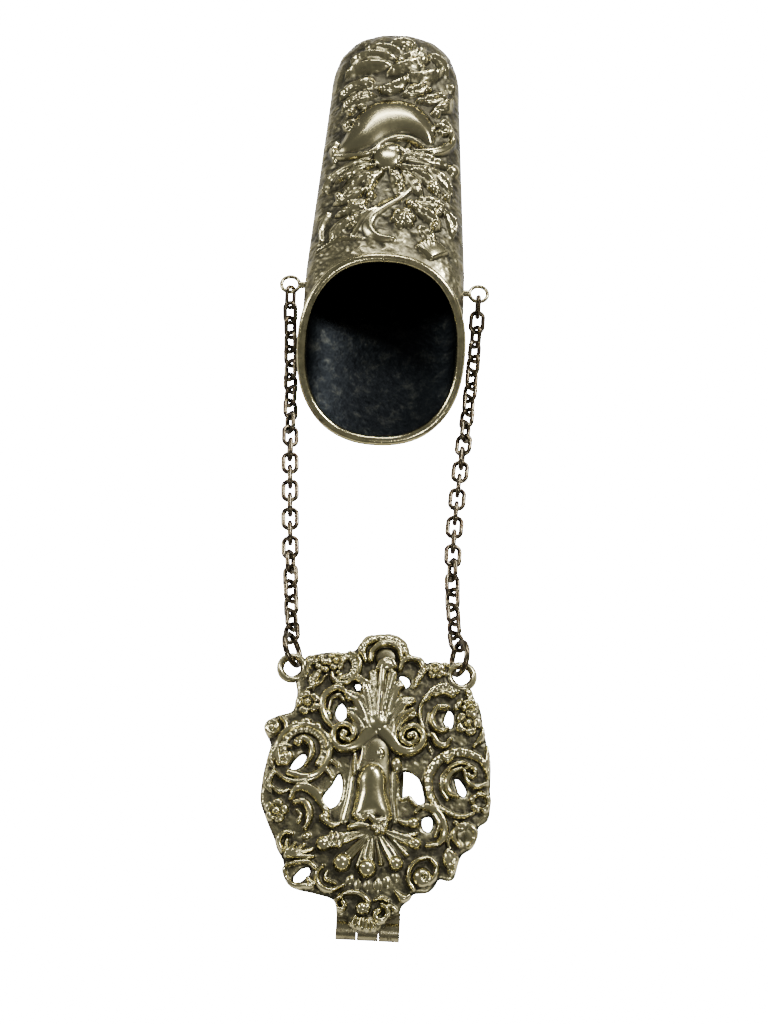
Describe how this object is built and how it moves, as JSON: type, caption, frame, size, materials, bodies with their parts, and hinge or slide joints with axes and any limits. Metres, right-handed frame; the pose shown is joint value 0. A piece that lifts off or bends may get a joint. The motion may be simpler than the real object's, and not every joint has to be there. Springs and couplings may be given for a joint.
{
  "type": "chatelaine spectacle case",
  "caption": "Repousse silver spectacle case with a slanted open mouth, hung by two cable chains from a pierced scrollwork belt clip with a hinged tongue.",
  "frame": {"origin": "on the back face of the belt tongue, under the middle of the clip plate", "axes": "+Y from the clip along the chains to the closed end of the case, +Z out of the decorated fronts, +X to the right seen from the front with the case up"},
  "size_m": [0.0574, 0.2492, 0.0203],
  "materials": {
    "clip_silver": "polished silver with dark tarnish in the recesses",
    "case_silver": "polished silver with dark tarnish in the recesses",
    "rim_silver": "worn bright silver wire",
    "chain_silver": "tarnished silver wire",
    "tongue_silver": "plain silver sheet"
  },
  "bodies": {
    "clip": {"clip_plate": "clip_silver", "plate_knuckle_left": "tongue_silver", "plate_knuckle_right": "tongue_silver", "hinge_pin": "tongue_silver"},
    "tongue": {"tongue_strip": "tongue_silver", "tongue_knuckle": "tongue_silver"},
    "clip_rings": {"clip_ring_left": "chain_silver", "clip_ring_right": "chain_silver"},
    "link_row_01": {"link_row_01": "chain_silver"},
    "link_row_02": {"link_row_02": "chain_silver"},
    "link_row_03": {"link_row_03": "chain_silver"},
    "link_row_04": {"link_row_04": "chain_silver"},
    "link_row_05": {"link_row_05": "chain_silver"},
    "link_row_06": {"link_row_06": "chain_silver"},
    "link_row_07": {"link_row_07": "chain_silver"},
    "link_row_08": {"link_row_08": "chain_silver"},
    "link_row_09": {"link_row_09": "chain_silver"},
    "link_row_10": {"link_row_10": "chain_silver"},
    "link_row_11": {"link_row_11": "chain_silver"},
    "link_row_12": {"link_row_12": "chain_silver"},
    "link_row_13": {"link_row_13": "chain_silver"},
    "link_row_14": {"link_row_14": "chain_silver"},
    "link_row_15": {"link_row_15": "chain_silver"},
    "link_row_16": {"link_row_16": "chain_silver"},
    "link_row_17": {"link_row_17": "chain_silver"},
    "link_row_18": {"link_row_18": "chain_silver"},
    "link_row_19": {"link_row_19": "chain_silver"},
    "link_row_20": {"link_row_20": "chain_silver"},
    "link_row_21": {"link_row_21": "chain_silver"},
    "link_row_22": {"link_row_22": "chain_silver"},
    "link_row_23": {"link_row_23": "chain_silver"},
    "link_row_24": {"link_row_24": "chain_silver"},
    "jump_rings": {"jump_ring_left": "chain_silver", "jump_ring_right": "chain_silver"},
    "case": {"case_front_shell": "case_silver", "case_back_shell": "case_silver", "mouth_rim": "rim_silver", "ear_left": "rim_silver", "ear_right": "rim_silver"}
  },
  "joints": [
    {"name": "tongue_hinge", "type": "hinge", "parent": "clip", "child": "tongue", "pos_m": [0, -0.031, 0.0025], "axis": [-1, 0, 0], "range_deg": [0, 170]},
    {"name": "clip_ring_swing", "type": "hinge", "parent": "clip", "child": "clip_rings", "pos_m": [0, 0.02885, 0.00645], "axis": [1, 0, 0], "range_deg": [-25, 25]},
    {"name": "link_01_swing", "type": "hinge", "parent": "clip_rings", "child": "link_row_01", "pos_m": [0, 0.033, 0.00493], "axis": [-1, 0, 0], "range_deg": [-20, 20]},
    {"name": "link_02_swing", "type": "hinge", "parent": "link_row_01", "child": "link_row_02", "pos_m": [0, 0.0378, 0.00328], "axis": [1, 0, 0], "range_deg": [-20, 20]},
    {"name": "link_03_swing", "type": "hinge", "parent": "link_row_02", "child": "link_row_03", "pos_m": [0, 0.0403, 0.00272], "axis": [-1, 0, 0], "range_deg": [-20, 20]},
    {"name": "link_04_swing", "type": "hinge", "parent": "link_row_03", "child": "link_row_04", "pos_m": [0, 0.04536, 0.00225], "axis": [1, 0, 0], "range_deg": [-20, 20]},
    {"name": "link_05_swing", "type": "hinge", "parent": "link_row_04", "child": "link_row_05", "pos_m": [0, 0.04793, 0.0023], "axis": [-1, 0, 0], "range_deg": [-20, 20]},
    {"name": "link_06_swing", "type": "hinge", "parent": "link_row_05", "child": "link_row_06", "pos_m": [0, 0.05301, 0.0023], "axis": [1, 0, 0], "range_deg": [-20, 20]},
    {"name": "link_07_swing", "type": "hinge", "parent": "link_row_06", "child": "link_row_07", "pos_m": [0, 0.05558, 0.0023], "axis": [-1, 0, 0], "range_deg": [-20, 20]},
    {"name": "link_08_swing", "type": "hinge", "parent": "link_row_07", "child": "link_row_08", "pos_m": [0, 0.06066, 0.0023], "axis": [1, 0, 0], "range_deg": [-20, 20]},
    {"name": "link_09_swing", "type": "hinge", "parent": "link_row_08", "child": "link_row_09", "pos_m": [0, 0.06323, 0.0023], "axis": [-1, 0, 0], "range_deg": [-20, 20]},
    {"name": "link_10_swing", "type": "hinge", "parent": "link_row_09", "child": "link_row_10", "pos_m": [0, 0.06832, 0.0023], "axis": [1, 0, 0], "range_deg": [-20, 20]},
    {"name": "link_11_swing", "type": "hinge", "parent": "link_row_10", "child": "link_row_11", "pos_m": [0, 0.07089, 0.0023], "axis": [-1, 0, 0], "range_deg": [-20, 20]},
    {"name": "link_12_swing", "type": "hinge", "parent": "link_row_11", "child": "link_row_12", "pos_m": [0, 0.07598, 0.0023], "axis": [1, 0, 0], "range_deg": [-20, 20]},
    {"name": "link_13_swing", "type": "hinge", "parent": "link_row_12", "child": "link_row_13", "pos_m": [0, 0.07855, 0.0023], "axis": [-1, 0, 0], "range_deg": [-20, 20]},
    {"name": "link_14_swing", "type": "hinge", "parent": "link_row_13", "child": "link_row_14", "pos_m": [0, 0.08363, 0.0023], "axis": [1, 0, 0], "range_deg": [-20, 20]},
    {"name": "link_15_swing", "type": "hinge", "parent": "link_row_14", "child": "link_row_15", "pos_m": [0, 0.0862, 0.0023], "axis": [-1, 0, 0], "range_deg": [-20, 20]},
    {"name": "link_16_swing", "type": "hinge", "parent": "link_row_15", "child": "link_row_16", "pos_m": [0, 0.09128, 0.0023], "axis": [1, 0, 0], "range_deg": [-20, 20]},
    {"name": "link_17_swing", "type": "hinge", "parent": "link_row_16", "child": "link_row_17", "pos_m": [0, 0.09385, 0.0023], "axis": [-1, 0, 0], "range_deg": [-20, 20]},
    {"name": "link_18_swing", "type": "hinge", "parent": "link_row_17", "child": "link_row_18", "pos_m": [0, 0.09893, 0.0023], "axis": [1, 0, 0], "range_deg": [-20, 20]},
    {"name": "link_19_swing", "type": "hinge", "parent": "link_row_18", "child": "link_row_19", "pos_m": [0, 0.1015, 0.0023], "axis": [-1, 0, 0], "range_deg": [-20, 20]},
    {"name": "link_20_swing", "type": "hinge", "parent": "link_row_19", "child": "link_row_20", "pos_m": [0, 0.10659, 0.00231], "axis": [1, 0, 0], "range_deg": [-20, 20]},
    {"name": "link_21_swing", "type": "hinge", "parent": "link_row_20", "child": "link_row_21", "pos_m": [0, 0.10916, 0.00251], "axis": [-1, 0, 0], "range_deg": [-20, 20]},
    {"name": "link_22_swing", "type": "hinge", "parent": "link_row_21", "child": "link_row_22", "pos_m": [0, 0.11415, 0.00349], "axis": [1, 0, 0], "range_deg": [-20, 20]},
    {"name": "link_23_swing", "type": "hinge", "parent": "link_row_22", "child": "link_row_23", "pos_m": [0, 0.11779, 0.0047], "axis": [-1, 0, 0], "range_deg": [-20, 20]},
    {"name": "link_24_swing", "type": "hinge", "parent": "link_row_23", "child": "link_row_24", "pos_m": [0, 0.12017, 0.0057], "axis": [1, 0, 0], "range_deg": [-20, 20]},
    {"name": "jump_ring_swing", "type": "hinge", "parent": "link_row_24", "child": "jump_rings", "pos_m": [0, 0.12467, 0.00806], "axis": [-1, 0, 0], "range_deg": [-25, 25]},
    {"name": "case_swing", "type": "hinge", "parent": "jump_rings", "child": "case", "pos_m": [0, 0.12711, 0.0095], "axis": [1, 0, 0], "range_deg": [-20, 25]}
  ]
}
